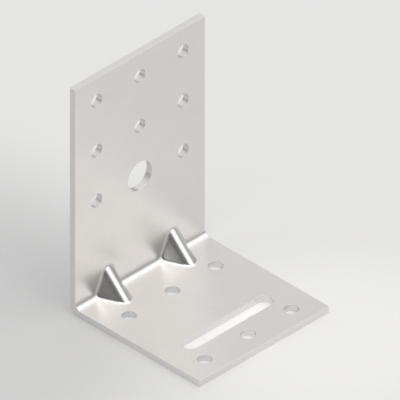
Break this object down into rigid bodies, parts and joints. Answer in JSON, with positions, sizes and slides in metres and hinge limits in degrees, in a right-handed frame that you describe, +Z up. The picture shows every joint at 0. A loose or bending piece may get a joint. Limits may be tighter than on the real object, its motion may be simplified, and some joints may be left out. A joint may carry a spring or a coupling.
{
  "type": "angle bracket",
  "caption": "Folded sheet steel angle bracket with nail holes, a bolt hole, a long slot and pressed darts that stiffen its fold, for joining timbers at a right angle.",
  "frame": {"origin": "middle of the footprint, on the base leg's underside", "axes": "+Z up the wall leg, +X from the wall leg towards the base leg's free edge, +Y along the fold"},
  "size_m": [0.06, 0.06, 0.09],
  "materials": {
    "galvanised_steel": "satin zinc coat on steel sheet"
  },
  "bodies": {
    "root": {"angle_bracket": "galvanised_steel"}
  },
  "joints": []
}
